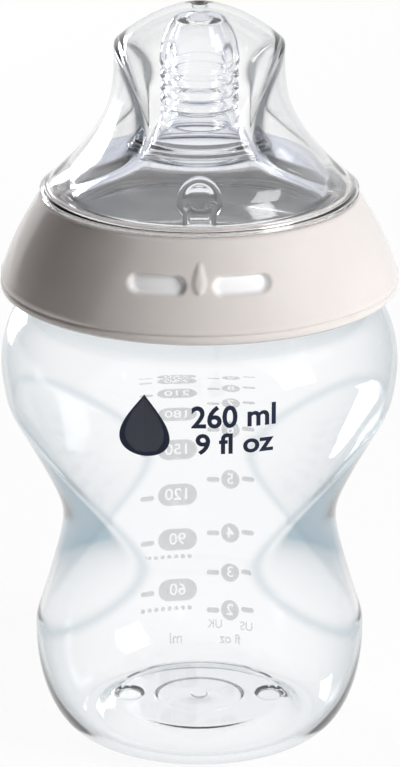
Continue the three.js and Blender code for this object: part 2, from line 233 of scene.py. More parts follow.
def ring_row(radius, z, angles=None, ridge=0.0, edge=1.0):
    """One row of a turned form. radius, ridge and edge are numbers or arrays over
    the angles."""
    if angles is None:
        angles = np.linspace(0, 2 * np.pi, TURN_STEPS, endpoint=False)
    radius = np.broadcast_to(radius, angles.shape)
    return np.column_stack([radius * np.cos(angles), radius * np.sin(angles),
                            np.full_like(angles, z), np.broadcast_to(ridge, angles.shape),
                            np.broadcast_to(edge, angles.shape)])


def axis_point(z):
    return np.array([[0.0, 0.0, z, 0.0, 1.0]])


def grip_arc(angles, grip, reach):
    """Radius at which the round form of a side grip lies."""
    s, c = np.sin(angles), np.abs(np.cos(angles))
    return np.sqrt(np.maximum((grip + reach) ** 2 - (reach * s) ** 2, 0)) - reach * c


def grip_radius(angles, full, grip, reach, fillet):
    """Radius of a turned form that two side grips cut."""
    return smooth_min(np.full_like(angles, full), grip_arc(angles, grip, reach), fillet)


def ridge_weight(angles, full, grip, reach, offset, width):
    """1 at the crease beside a grip, falling off to both sides: the weight of the painted shade along the
    crease. offset moves the middle towards the grip."""
    depth = full - grip_arc(angles, grip, reach)
    return np.exp(-((depth - offset) / width) ** 2)


def grip_angles(full, grip, reach):
    """Angles of one section, gathered at the crease between a grip and the full round."""
    crease_x = grip - (full ** 2 - grip ** 2) / (2 * reach)
    crease = max(math.acos(min(max(crease_x / full, -1), 1)), LEAST_CREASE)
    inner = crease * np.sin(np.linspace(0, np.pi / 2, CREASE_STEPS, endpoint=False))
    t = np.linspace(0, 1, FACE_STEPS, endpoint=False)
    outer = crease + (np.pi / 2 - crease) * (0.2 * t + 0.8 * t ** 2)
    quarter = np.concatenate([inner, outer])
    half = np.concatenate([quarter, [np.pi / 2], np.pi - quarter[1:][::-1]])
    return np.concatenate([half, half + np.pi])


# ------------------------------------------------------------------ forms

def bottle_round(z, inset=0.0):
    root = NECK_RADIUS + 1
    if z < LOBE_HEIGHT:
        u = (LOBE_HEIGHT - z) / (LOBE_HEIGHT - inset)
        swell = math.sqrt(max(1 - u * u, 0))
        return FOOT_RADIUS - inset + (LOBE_RADIUS - FOOT_RADIUS) * swell
    if z < WAIST_HEIGHT:
        t = (z - LOBE_HEIGHT) / (WAIST_HEIGHT - LOBE_HEIGHT)
        return lerp(LOBE_RADIUS, WAIST_RADIUS, t) - inset
    if z < SHOULDER_HEIGHT:
        t = (z - WAIST_HEIGHT) / (SHOULDER_HEIGHT - WAIST_HEIGHT)
        return lerp(WAIST_RADIUS, SHOULDER_RADIUS, float(ease(t))) - inset
    u = (z - SHOULDER_HEIGHT) / (BODY_HEIGHT - inset - SHOULDER_HEIGHT)
    return root - inset + (SHOULDER_RADIUS - root) * math.sqrt(max(1 - u * u, 0))


def bottle_grip(z):
    return GRIP_HALF + valley(z - WAIST_HEIGHT, GRIP_BLEND, GRIP_ABOVE, GRIP_BELOW)


def bottle_section(z, inset, fillet):
    full, grip = bottle_round(z, inset), bottle_grip(z) - inset
    angles = grip_angles(full, grip, GRIP_REACH)
    radius = grip_radius(angles, full, grip, GRIP_REACH, fillet)
    if inset:
        return ring_row(radius, z, angles)
    radius = radius - INK_ROOM
    # Painted shade: the crease, collar and waist values darken the clear wall's colour, and the lower face of
    # a grip is painted lighter
    crease = CREASE_PAINTED_SHADE * ridge_weight(angles, full, grip, GRIP_REACH, -0.2, 0.4)
    collar_painted_shade = COLLAR_PAINTED_SHADE * float(ease((z - COLLAR_SHADE_ABOVE) / 2.5))
    on_grip = ease(full - grip_arc(angles, grip, GRIP_REACH))
    waist = math.exp(-((z - WAIST_SHADE_HEIGHT) / WAIST_SHADE_REACH) ** 2)
    bright = float(ease((BRIGHT_BELOW - z) / 20))
    edge = 1 + on_grip * (WAIST_SHADE * waist - 0.95 * bright)
    return ring_row(radius, z, angles, np.maximum(crease, collar_painted_shade), edge)


def bottle_heights(inset):
    foot = LOBE_HEIGHT - (LOBE_HEIGHT - inset) * np.cos(np.linspace(0, np.pi / 2, 22))
    middle = np.linspace(LOBE_HEIGHT, SHOULDER_HEIGHT, 74)[1:-1]
    top = BODY_HEIGHT - inset - SHOULDER_HEIGHT
    shoulder = SHOULDER_HEIGHT + top * np.sin(np.linspace(0, np.pi / 2, 24))
    return np.concatenate([foot, middle, shoulder])


def thread_rise(angles, z, start):
    """How far a thread stands out of its wall at one height, over the angles."""
    rise = np.zeros_like(angles)
    for turn in range(math.ceil(THREAD_TURNS)):
        along = angles / (2 * np.pi) + turn
        offset = np.abs(z - start - THREAD_PITCH * along)
        ends = np.clip(np.minimum(along, THREAD_TURNS - along) * 8, 0, 1)
        profile = np.clip((1.0 - offset) / 0.5, 0, 1)
        rise = np.maximum(rise, THREAD_DEPTH * ease(profile) * ends)
    return rise


def neck_rows(start):
    angles = grip_angles(NECK_RADIUS, NECK_RADIUS + 5, GRIP_REACH)
    rows = []
    for z in np.linspace(BODY_HEIGHT + 0.8, NECK_TOP - 0.5, 50):
        rows.append(ring_row(NECK_RADIUS + thread_rise(angles, z, start), z, angles))
    return rows


# Two shallow ovals moulded in the base
DIMPLE_X, DIMPLE_HALF_X, DIMPLE_HALF_Y, DIMPLE_DEPTH = 13.6, 2.9, 3.6, 0.35


def dimpled(rows, depth):
    for row in rows:
        across = np.hypot((np.abs(row[:, 0]) - DIMPLE_X) / DIMPLE_HALF_X, row[:, 1] / DIMPLE_HALF_Y)
        row[:, 2] += depth * ease((1.1 - across) / 0.4)
    return rows


def bottle_mesh():
    foot_inner = FOOT_RADIUS - FOOT_WIDTH
    plain = grip_angles(NECK_RADIUS, NECK_RADIUS + 5, GRIP_REACH)
    floor_z = BASE_RISE + BOTTLE_WALL

    def even(points):
        return [ring_row(r, z, plain) for r, z in points]

    disc, gate, web = 8.6, 1.4, foot_inner - 4.0
    base = rounded([
        (0.4, BASE_RISE + 0.1), (gate, BASE_RISE + 0.1), (gate + 0.2, BASE_RISE + 0.4),
        (disc - 0.5, BASE_RISE + 0.4), (disc, BASE_RISE)], 0.3, 4)
    base += [(r, BASE_RISE) for r in np.linspace(disc + 0.5, web, 24)]
    foot = np.linspace(0, 1, 14)
    base += [(lerp(web, foot_inner + 0.8, t), BASE_RISE * float(1 - ease(t))) for t in foot[1:]]
    base += [(FOOT_RADIUS - 0.2, 0)]
    floor = [(FOOT_RADIUS - BOTTLE_WALL - 0.1, BOTTLE_WALL)]
    floor += [(lerp(foot_inner + 1.4, web + 0.4, t), BOTTLE_WALL + BASE_RISE * float(ease(t)))
              for t in foot]
    floor += [(r, floor_z) for r in np.linspace(web - 0.4, disc, 24)]
    floor += [(disc * 0.6, floor_z + 0.1), (disc * 0.2, floor_z + 0.3)]
    outside = [bottle_section(z, 0, OUTER_FILLET) for z in bottle_heights(0)[1:]]
    inside = [bottle_section(z, BOTTLE_WALL, INNER_FILLET) for z in bottle_heights(BOTTLE_WALL)[1:]]
    neck_bore = NECK_RADIUS - NECK_WALL
    start = NECK_TOP - THREAD_DROP - THREAD_PITCH * THREAD_TURNS
    rim = arc(NECK_RADIUS - 0.5, NECK_TOP - 0.5, 0.5, 0.5, 0, np.pi / 2, 4)
    rim += arc(neck_bore + 0.4, NECK_TOP - 0.4, 0.4, 0.4, np.pi / 2, np.pi, 4)
    rim += [(neck_bore, BODY_HEIGHT - BOTTLE_WALL + 1.2)]
    rows = [axis_point(BASE_RISE + 0.1)] + dimpled(even(base), DIMPLE_DEPTH) + outside
    rows += neck_rows(start) + even(rim) + inside[::-1]
    rows += dimpled(even(floor), -DIMPLE_DEPTH) + [axis_point(floor_z + 0.3)]
    return skin("bottle_shell", rows)


def hood_round(z, inset=0.0):
    rise = z - HOOD_BOTTOM
    if rise <= HOOD_RIM_HEIGHT:
        return HOOD_RIM - inset
    if rise < HOOD_WAIST_HEIGHT:
        u = (HOOD_WAIST_HEIGHT - rise) / (HOOD_WAIST_HEIGHT - HOOD_RIM_HEIGHT)
        return lerp(HOOD_WAIST, HOOD_RIM, u ** HOOD_FLARE) - inset
    u = (rise - HOOD_WAIST_HEIGHT) / (HOOD_HEIGHT - inset - HOOD_WAIST_HEIGHT)
    swell = max(1 - min(u, 1) ** HOOD_POWER, 0) ** (1 / HOOD_POWER)
    return (HOOD_WAIST - inset) * swell


def hood_grip(z):
    rise = z - HOOD_BOTTOM
    fade = max(0, 1 - rise / HOOD_FADE)
    bend = valley(rise - HOOD_GRIP_HEIGHT, HOOD_BLEND, HOOD_ABOVE, HOOD_BELOW)
    return HOOD_GRIP + HOOD_LIFT * fade ** 2 + bend


def hood_section(z, inset, fillet):
    full, grip = hood_round(z, inset), hood_grip(z) - inset
    angles = grip_angles(full, grip, HOOD_REACH)
    # The ridge value paints shade along the hood's creases; the edge value is low near the rim, so the painted
    # edge shade is weak there
    ridge = 0.0
    if not inset:
        fade = float(ease((z - HOOD_BOTTOM - 8) / 6))
        ridge = fade * np.minimum(1.5 * ridge_weight(angles, full, grip, HOOD_REACH, 0.75, 0.85), 1)
    edge = 0.25 + 0.75 * float(ease((z - HOOD_BOTTOM - 1) / 4))
    return ring_row(grip_radius(angles, full, grip, HOOD_REACH, fillet), z, angles, ridge, edge)


def hood_heights(inset):
    waist = HOOD_BOTTOM + HOOD_WAIST_HEIGHT
    rim = [HOOD_BOTTOM + 0.35, HOOD_BOTTOM + HOOD_RIM_HEIGHT]
    flare = np.linspace(rim[1], waist, 26)[1:]
    top = HOOD_TOP - inset - waist
    dome = waist + top * np.sin(np.linspace(0, np.pi / 2, 64))[1:-1]
    return np.concatenate([rim, flare, dome])


def hood_mesh():
    outside = [hood_section(z, 0, HOOD_OUTER_FILLET) for z in hood_heights(0)]
    inside = [hood_section(z, HOOD_WALL, HOOD_INNER_FILLET) for z in hood_heights(HOOD_WALL)]
    plain = grip_angles(HOOD_RIM, HOOD_RIM + 5, HOOD_REACH)
    rim = arc(HOOD_RIM - 0.35, HOOD_BOTTOM + 0.35, 0.35, 0.35, 0, -np.pi / 2, 4)
    rim += arc(HOOD_RIM - HOOD_WALL + 0.35, HOOD_BOTTOM + 0.35, 0.35, 0.35, -np.pi / 2, -np.pi, 4)
    # The rim gets little painted edge shade
    rim_rows = [ring_row(r, z, plain, edge=0.2) for r, z in rim]
    crown = hood_round_height(GATE_RADIUS) - 0.08
    gate = rounded([(GATE_RADIUS + 0.2, crown), (GATE_RADIUS, crown), (GATE_RADIUS - 0.15, crown - GATE_DEPTH),
                    (0.3, crown - GATE_DEPTH)], 0.12, 3)
    gate_rows = [ring_row(r, z, plain) for r, z in gate][::-1]
    outer = [row for row in outside[::-1] if row[:, 2].max() < crown - 0.02]
    rows = [axis_point(crown - GATE_DEPTH)] + gate_rows + outer + rim_rows + inside[:]
    return skin("hood_shell", rows + [axis_point(HOOD_TOP - HOOD_WALL)])


def hood_round_height(radius):
    """Height at which the outside of the dome has that radius."""
    swell = radius / HOOD_WAIST
    u = (1 - swell ** HOOD_POWER) ** (1 / HOOD_POWER)
    return HOOD_BOTTOM + HOOD_WAIST_HEIGHT + u * (HOOD_HEIGHT - HOOD_WAIST_HEIGHT)


def teat_outline():
    seat = RING_HOLE - 0.4
    centre = DOME_RADIUS - DOME_ARC
    bulb = TEAT_TOP - BULB_HEIGHT
    ribs = bulb - RIB_COUNT * RIB_PITCH
    step = 1.45

    def ribbed(radius, depth):
        t = np.linspace(0, 1, RIB_COUNT * 12 + 1)
        ridge = (0.5 - 0.5 * np.cos(2 * np.pi * RIB_COUNT * t)) ** 2
        return list(zip(radius - depth * ridge, ribs + RIB_COUNT * RIB_PITCH * t))

    outer = [(0.5, TEAT_TOP), (TIP_RADIUS, TEAT_TOP), (TIP_RADIUS + 1.2, TEAT_TOP - 0.6)]
    outer += arc(TIP_RADIUS, bulb, NIPPLE_RADIUS - TIP_RADIUS, BULB_HEIGHT - 0.6, 1.1, 0, 18)
    outer += ribbed(NIPPLE_RADIUS - 0.1, 0.38)[::-1]
    outer += [
        (NIPPLE_RADIUS + 0.2, lerp(ribs, DOME_CROWN, 0.2)),
        (NIPPLE_RADIUS + 1.1, lerp(ribs, DOME_CROWN, 0.45)),
        (centre - 2 * step, DOME_CROWN + 1.9), (centre - step - 0.2, DOME_CROWN + 1.6),
        (centre - step, DOME_CROWN + 0.7), (centre - 0.2, DOME_CROWN + 0.3),
    ]
    outer += arc(centre, DOME_CENTRE, DOME_ARC, DOME_HEIGHT, np.pi / 2, 0.17, 40)
    outer += [
        (DOME_RADIUS + 0.6, SHELF_TOP - 0.2), (seat - 0.5, SHELF_TOP), (seat, SHELF_TOP - 0.5),
        (seat, FLANGE_TOP), (FLANGE_RADIUS, FLANGE_TOP), (FLANGE_RADIUS, FLANGE_BOTTOM),
    ]
    lumen_top = TEAT_TOP - 1.4
    inner = [(seat - 1.6, FLANGE_BOTTOM), (DOME_RADIUS - TEAT_WALL, FLANGE_TOP)]
    inner += arc(centre, DOME_CENTRE, DOME_ARC - TEAT_WALL, DOME_HEIGHT - TEAT_WALL, 0.05, np.pi / 2, 40)
    inner += [
        (centre - step, DOME_CROWN - TEAT_WALL + 0.9),
        (centre - 2 * step, DOME_CROWN - TEAT_WALL + 1.5),
        (NIPPLE_LUMEN + 0.9, lerp(ribs, DOME_CROWN, 0.45)),
    ]
    inner += ribbed(NIPPLE_LUMEN, -0.18)
    inner += [(NIPPLE_LUMEN - 0.2, lerp(bulb, lumen_top, 0.5)), (TIP_RADIUS, lumen_top - 0.4),
              (0.5, lumen_top)]
    return rounded(outer + inner, 0.35, 4)


def valve_mesh():
    """The air valve: a disc facing the front on a flat stem, with a raised rim."""
    half = VALVE_STEM / 2
    meet = math.asin(half / VALVE_RADIUS)
    angles = np.linspace(meet - np.pi / 2, 1.5 * np.pi - meet, 56)
    foot = [(-half, 0.0), (half, 0.0)]
    ring = [(VALVE_RADIUS * math.cos(a), VALVE_HEIGHT + VALVE_RADIUS * math.sin(a)) for a in angles]
    outline = np.array(foot + ring)
    centre = np.array([0, VALVE_HEIGHT])

    def layer(shrink, y):
        offset = outline - centre
        points = centre + offset * shrink
        return np.column_stack([points[:, 0], np.full(len(points), y),
                                points[:, 1] + FLANGE_BOTTOM + 0.05,
                                np.zeros(len(points)), np.ones(len(points))])

    front = -VALVE_OFFSET - VALVE_THICK / 2
    back = front + VALVE_THICK
    hub = np.array([[0, front + 0.5, VALVE_HEIGHT + FLANGE_BOTTOM, 0, 1]])
    hub_back = np.array([[0, back - 0.3, VALVE_HEIGHT + FLANGE_BOTTOM, 0, 1]])
    rows = [hub, layer(0.55, front + 0.5), layer(0.68, front + 0.45), layer(0.74, front + 0.05),
            layer(0.93, front), layer(1.0, front + 0.2), layer(1.0, back - 0.2), layer(0.93, back),
            layer(0.6, back), layer(0.55, back - 0.3), hub_back]
    return skin("valve", rows)


def ring_mesh():
    band_top = RING_BOTTOM + RING_BAND
    skirt_foot = RING_RADIUS - 0.35
    skirt = []
    for t in np.linspace(0, 1, 60):
        radius = lerp(skirt_foot, RING_TOP_RADIUS, t) + RING_BULGE * 4 * t * (1 - t)
        skirt.append((radius, lerp(band_top, RING_TOP - 0.5, t)))
    groove_top = RING_TOP - 7.2
    groove_wall = RING_BORE + 1.6
    lip = HOOD_RIM - HOOD_WALL - 0.5
    band = [(RING_RADIUS - 0.9, RING_BOTTOM), (RING_RADIUS - 0.05, RING_BOTTOM + 0.5),
            (RING_RADIUS, RING_BOTTOM + 1.4), (RING_RADIUS - 0.45, RING_BOTTOM + 1.75),
            (RING_RADIUS - 0.05, RING_BOTTOM + 2.1), (RING_RADIUS - 0.1, band_top - 0.5)]
    top = [(RING_TOP_RADIUS - 0.5, RING_TOP), (lip, RING_TOP), (lip, RING_TOP + SNAP_LIP),
           (lip - 1.2, RING_TOP + SNAP_LIP), (RING_HOLE, RING_TOP),
           (RING_HOLE, FLANGE_TOP + 0.3), (RING_BORE, FLANGE_TOP + 0.3)]
    bottom = [(RING_BORE, RING_BOTTOM + 0.9), (RING_BORE + 0.4, RING_BOTTOM + 0.5),
              (groove_wall, RING_BOTTOM + 0.5), (groove_wall, groove_top),
              (groove_wall + 0.8, groove_top), (skirt_foot - 1.5, band_top),
              (RING_RADIUS - 1.5, RING_BOTTOM)]
    angles = np.linspace(0, 2 * np.pi, 480, endpoint=False)
    start = NECK_TOP - THREAD_DROP - THREAD_PITCH * (THREAD_TURNS + 0.5)
    rows = []
    for r, z in rounded(band, 0.3, 4):
        rows.append(ring_row(r, z, angles))
    # The ridge value paints light: the slots' floors get a lighter colour
    for r, z in skirt:
        relief = ring_relief(angles, r, z)
        rows.append(ring_row(r + relief, z, angles, np.clip(-relief / SLOT_DEPTH, 0, 1)))
    for r, z in rounded([skirt[-1]] + top + [(RING_BORE, FLANGE_TOP - 0.5)], 0.4, 4)[1:-1]:
        rows.append(ring_row(r, z, angles))
    # The bore and the underside get the lighter colour too, painted light where they lie in shade
    for z in np.linspace(FLANGE_TOP - 0.6, RING_BOTTOM + 1.2, 40):
        rows.append(ring_row(RING_BORE - thread_rise(angles, z, start), z, angles, 1.0))
    for r, z in bottom[:-1]:
        rows.append(ring_row(r, z, angles, 1.0))
    rows.append(ring_row(*bottom[-1], angles))
    return skin("ring_shell", rows)


# Marks moulded into the front of the ring
SLOT_INNER, SLOT_OUTER, SLOT_HEIGHT, SLOT_HALF, SLOT_DEPTH = 2.6, 12.6, 98.2, 1.6, 1.0
DROP_HEIGHT, DROP_HALF, DROP_WIDTH, DROP_RISE = 99.5, 2.6, 1.15, 0.45


def ring_relief(angles, radius, z):
    """Two sunk slots and a raised drop between them, over the angles at one height."""
    x = radius * np.cos(angles)
    front = np.sin(angles) < 0
    inner = SLOT_INNER + SLOT_HALF
    outer = SLOT_OUTER - SLOT_HALF
    beyond = np.maximum(np.maximum(inner - np.abs(x), np.abs(x) - outer), 0)
    distance = np.hypot(beyond, z - SLOT_HEIGHT)
    slot = ease((SLOT_HALF - distance) / 0.7 + 0.35)
    t = (z - DROP_HEIGHT) / DROP_HALF
    width = DROP_WIDTH * math.sqrt(max(1 - t * t, 0)) * (1 - 0.35 * t)
    drop = ease((width - np.abs(x)) / 0.5)
    return np.where(front, DROP_RISE * drop - SLOT_DEPTH * slot, 0)


# ------------------------------------------------------------------ prints

def wall_point(x, z, side, lift):
    """The point on the outside of the bottle at that x and height, on side -1 (front)
    or 1 (back), lifted off the wall."""
    full, grip = bottle_round(z), bottle_grip(z)
    angle = math.acos(max(min(x / full, 1), -1))
    for _ in range(8):
        radius = float(grip_radius(np.array([angle]), full, grip, GRIP_REACH, OUTER_FILLET)[0])
        angle = math.acos(max(min(x / radius, 1), -1))
    lifted = radius + lift - INK_ROOM
    return x * lifted / radius, side * lifted * math.sin(angle), z


def wrap_on_wall(obj, x, z, side, lift, layers=0.04):
    """Lays a flat mesh, drawn in its own x and y in millimetres, round the wall. Its own
    z is the thickness of the ink."""
    flip = 1 if side < 0 else -1
    for vertex in obj.data.vertices:
        u, v, w = vertex.co
        depth = lift + (layers if w > 0 else 0)
        point = wall_point(x + flip * u, z + v, side, depth)
        vertex.co = [c * MM for c in point]
    obj.data.update()


def text_mesh(name, words, size, weight=0.0):
    """Words as a thin solid, centred on their own origin, in millimetres."""
    curve = bpy.data.curves.new(name, "FONT")
    curve.body = words
    curve.size = size
    curve.offset = weight
    curve.align_x, curve.align_y = "CENTER", "CENTER"
    curve.extrude = 0.01
    curve.resolution_u = 4
    holder = bpy.data.objects.new(name + "_curve", curve)
    bpy.context.scene.collection.objects.link(holder)
    mesh = bpy.data.meshes.new_from_object(holder)
    bpy.data.objects.remove(holder)
    obj = bpy.data.objects.new(name, mesh)
    bpy.context.scene.collection.objects.link(obj)
    return obj


def outline_mesh(name, points, columns=10):
    """A flat closed outline as a thin solid: strips across its width, so that it bends."""
    verts, faces = [], []
    points = np.array(points)
    points = np.round(points, 3)
    ends = points[:, 0].min(), points[:, 0].max()
    xs = np.unique(np.round(np.concatenate([points[:, 0], np.linspace(*ends, columns + 1)]), 3))
    columns = len(xs) - 1
    tops, bottoms = [], []
    for x in xs:
        hits = []
        for (x0, y0), (x1, y1) in zip(points, np.roll(points, -1, axis=0)):
            if min(x0, x1) - 1e-6 <= x <= max(x0, x1) + 1e-6:
                t = 0 if abs(x1 - x0) < 1e-6 else (x - x0) / (x1 - x0)
                hits.append(y0 + (y1 - y0) * t)
        tops.append(max(hits))
        bottoms.append(min(hits))
    for x, top, bottom in zip(xs, tops, bottoms):
        gap = max(top - bottom, 0.02)
        middle = (top + bottom) / 2
        low, high = middle - gap / 2, middle + gap / 2
        verts += [(x, low, -0.01), (x, high, -0.01), (x, high, 0.01), (x, low, 0.01)]
    for i in range(columns):
        for k in range(4):
            a, b = 4 * i + k, 4 * i + (k + 1) % 4
            faces.append((a, b, b + 4, a + 4))
    faces += [(3, 2, 1, 0), tuple(4 * columns + k for k in range(4))]
    mesh = bpy.data.meshes.new(name)
    mesh.from_pydata(verts, [], faces)
    obj = bpy.data.objects.new(name, mesh)
    bpy.context.scene.collection.objects.link(obj)
    return obj


def pill(width, height, count=10):
    """Outline of a stadium, centred."""
    radius = height / 2
    right = [(width / 2 - radius + radius * math.cos(a), radius * math.sin(a))
             for a in np.linspace(-np.pi / 2, np.pi / 2, count)]
    return right + [(-x, -y) for x, y in right]


def drop_outline(width, height, count=40):
    """A plain drop, point upwards, centred."""
    points = []
    for a in np.linspace(0, 2 * np.pi, count, endpoint=False):
        x = width / 2 * math.sin(a) * math.sin(a / 2) ** 1.2 * 1.18
        points.append((x, height / 2 * math.cos(a)))
    return points


# Heights of the millilitre and fluid ounce marks on the back wall
ML_MARKS = {60: 13.3, 90: 24.4, 120: 33.8, 150: 43.1, 180: 50.4, 210: 55.4, 240: 58.3, 260: 59.4}
OZ_MARKS = {2: 9.3, 3: 17.1, 4: 25.9, 5: 37.1, 6: 47.2, 7: 53.1, 8: 56.6, 9: 59.1}
ML_CENTRE, ML_TICK, OZ_CENTRE, OZ_TICK_UK, OZ_TICK_US = -4.5, -10.7, 6.3, 2.8, 9.9
SQUEEZE_FROM, SQUEEZE_REACH, SQUEEZE_POWER = 30.0, 30.2, 0.6
DOT_HEIGHTS, DOT_COUNT, DOT_PITCH = (20.8, 9.6), 8, 1.38
PRINT_LIFT = 0.05


def cut_out(plate, words, size):
    """Cuts words out of a flat plate."""
    cutter = text_mesh("cutter", words, size, 0.03)
    for vertex in cutter.data.vertices:
        vertex.co.z *= 4
    step = plate.modifiers.new("cut", "BOOLEAN")
    step.operation, step.solver, step.object = "DIFFERENCE", "EXACT", cutter
    ready = plate.evaluated_get(bpy.context.evaluated_depsgraph_get())
    plate.data = bpy.data.meshes.new_from_object(ready)
    plate.modifiers.clear()
    bpy.data.objects.remove(cutter)


def ellipse(half_width, half_height, count):
    turns = np.linspace(0, 2 * np.pi, count, endpoint=False)
    return [(half_width * math.cos(a), half_height * math.sin(a)) for a in turns]


def flattening(z):
    """How far a mark is squeezed where the scale closes up under the shoulder."""
    rise = max(z - SQUEEZE_FROM, 0) / SQUEEZE_REACH
    return (1 - rise ** 2) ** SQUEEZE_POWER


def print_scale():
    """The scale printed on the back: grey plates with numbers cut out, ticks and dots."""
    marks = []

    def mark(outline, x, z, columns=6, words=None, size=0.0, squeeze=1.0):
        obj = outline_mesh("mark", outline, columns)
        if words:
            cut_out(obj, words, size)
        for vertex in obj.data.vertices:
            vertex.co.y *= squeeze
        wrap_on_wall(obj, x, z, 1, PRINT_LIFT)
        marks.append(obj)

    for volume, z in ML_MARKS.items():
        squeeze = flattening(z)
        mark(pill(8.0, 4.5), ML_CENTRE, z, 10, str(volume), 3.5, squeeze)
        mark(pill(2.8, 1.0), ML_TICK, z - 0.3, squeeze=squeeze)
    for volume, z in OZ_MARKS.items():
        squeeze = flattening(z)
        mark(ellipse(1.85, 2.0, 36), OZ_CENTRE, z, 8, str(volume), 3.2, squeeze)
        mark(pill(2.6, 1.0), OZ_TICK_UK, z - 0.2, squeeze=squeeze)
        mark(pill(2.6, 1.0), OZ_TICK_US, z + 0.4, squeeze=squeeze)
    for z in DOT_HEIGHTS:
        for i in range(DOT_COUNT):
            mark(ellipse(0.44, 0.44, 14), ML_TICK - 1.0 + DOT_PITCH * i, z, 2)
    for words, size, x, z in (("ml", 2.8, ML_CENTRE - 0.4, 3.8), ("fl oz", 2.5, OZ_CENTRE, 3.8),
                              ("UK", 2.3, OZ_TICK_UK + 0.4, 6.4), ("US", 2.3, OZ_TICK_US - 0.2, 6.4)):
        obj = text_mesh("scale_word", words, size, 0.02)
        wrap_on_wall(obj, x, z, 1, PRINT_LIFT)
        marks.append(obj)
    return joined("scale_print", marks)


def print_front():
    """A plain drop and the capacity, in navy, where the front of the bottle is printed."""
    drop = outline_mesh("front_drop", drop_outline(10.4, 11.8, 64), 40)
    wrap_on_wall(drop, -9.9, 72.6, -1, PRINT_LIFT)
    lines = [drop]
    for name, words, x, z in (("front_ml", "260 ml", 6.2, 74.5), ("front_oz", "9 fl oz", 6.2, 69.3)):
        obj = text_mesh(name, words, 5.6, 0.13)
        wrap_on_wall(obj, x, z, -1, PRINT_LIFT)
        lines.append(obj)
    return joined("front_print", lines)


def joined(name, objects):
    """Several mesh objects as one."""
    verts, faces = [], []
    for obj in objects:
        start = len(verts)
        verts.extend(tuple(v.co) for v in obj.data.vertices)
        faces.extend([tuple(start + i for i in p.vertices) for p in obj.data.polygons])
        bpy.data.objects.remove(obj)
    mesh = bpy.data.meshes.new(name)
    mesh.from_pydata(verts, [], faces)
    mesh.update()
    result = bpy.data.objects.new(name, mesh)
    bpy.context.scene.collection.objects.link(result)
    return result


# ------------------------------------------------------------------ materials

def new_material(name):
    material = bpy.data.materials.new(name)
    material.use_nodes = True
    nodes = material.node_tree.nodes
    return material, nodes, material.node_tree.links, nodes["Principled BSDF"]


def ramp_between(nodes, links, factor, low, high):
    """A colour that runs from low to high with a factor."""
    mix = nodes.new("ShaderNodeMix")
    mix.data_type = "RGBA"
    mix.inputs["A"].default_value = (*low, 1)
    mix.inputs["B"].default_value = (*high, 1)
    links.new(factor, mix.inputs["Factor"])
    return mix.outputs["Result"]


def fine_bump(nodes, links, shader, scale, strength, distance):
    """Slight unevenness of a moulded surface."""
    coords = nodes.new("ShaderNodeTexCoord")
    noise = nodes.new("ShaderNodeTexNoise")
    noise.inputs["Scale"].default_value = scale
    noise.inputs["Detail"].default_value = 2
    bump = nodes.new("ShaderNodeBump")
    bump.inputs["Strength"].default_value = strength
    bump.inputs["Distance"].default_value = distance
    links.new(coords.outputs["Object"], noise.inputs["Vector"])
    links.new(noise.outputs["Fac"], bump.inputs["Height"])
    links.new(bump.outputs["Normal"], shader.inputs["Normal"])
    return noise


def clear_material(name, centre, edge, power, ridge, roughness, ior, bump_scale, bump_strength):
    """Clear plastic or silicone. Its tint deepens where the wall is seen edge on, a painted reflection of
    darker surroundings, as much as the mesh's edge value says, and with the mesh's ridge value, painted shade
    along the creases."""
    material, nodes, links, shader = new_material(name)
    shader.inputs["Transmission Weight"].default_value = 1
    shader.inputs["Roughness"].default_value = roughness
    shader.inputs["IOR"].default_value = ior
    facing = nodes.new("ShaderNodeLayerWeight")
    facing.inputs["Blend"].default_value = 0.5
    curve = nodes.new("ShaderNodeMath")
    curve.operation = "POWER"
    curve.inputs[1].default_value = power
    links.new(facing.outputs["Facing"], curve.inputs[0])
    strength = nodes.new("ShaderNodeAttribute")
    strength.attribute_name = "edge"
    tint = nodes.new("ShaderNodeMath")
    tint.operation, tint.use_clamp = "MULTIPLY", True
    links.new(curve.outputs[0], tint.inputs[0])
    links.new(strength.outputs["Fac"], tint.inputs[1])
    colour = ramp_between(nodes, links, tint.outputs[0], centre, edge)
    if ridge:
        weight = nodes.new("ShaderNodeAttribute")
        weight.attribute_name = "ridge"
        ridged = ramp_between(nodes, links, weight.outputs["Fac"], centre, ridge)
        links.new(colour, ridged.node.inputs["A"])
        colour = ridged
    links.new(colour, shader.inputs["Base Color"])
    fine_bump(nodes, links, shader, bump_scale, bump_strength, 0.0002)
    return material


def ring_material():
    material, nodes, links, shader = new_material("ring_plastic")
    shader.inputs["Roughness"].default_value = 0.12
    shader.inputs["IOR"].default_value = 1.5
    shader.inputs["Subsurface Weight"].default_value = 0.3
    shader.inputs["Subsurface Scale"].default_value = 0.002
    shader.inputs["Subsurface Radius"].default_value = (1.0, 0.9, 0.85)
    noise = fine_bump(nodes, links, shader, 160, 0.03, 0.0002)
    outside = ramp_between(nodes, links, noise.outputs["Fac"], (0.655, 0.615, 0.595), (0.685, 0.645, 0.625))
    # Painted light: where the ridge value says, in the slots and inside the ring, the plastic is painted a
    # lighter colour
    inner = nodes.new("ShaderNodeAttribute")
    inner.attribute_name = "ridge"
    colour = ramp_between(nodes, links, inner.outputs["Fac"], (1, 1, 1), (0.90, 0.90, 0.91))
    links.new(outside, colour.node.inputs["A"])
    links.new(colour, shader.inputs["Base Color"])
    return material


def ink_material(name, low, high, cover=1.0):
    material, nodes, links, shader = new_material(name)
    shader.inputs["Roughness"].default_value = 0.5
    shader.inputs["Specular IOR Level"].default_value = 0.15
    shader.inputs["Alpha"].default_value = cover
    noise = fine_bump(nodes, links, shader, 900, 0.1, 0.00005)
    colour = ramp_between(nodes, links, noise.outputs["Fac"], low, high)
    links.new(colour, shader.inputs["Base Color"])
    return material
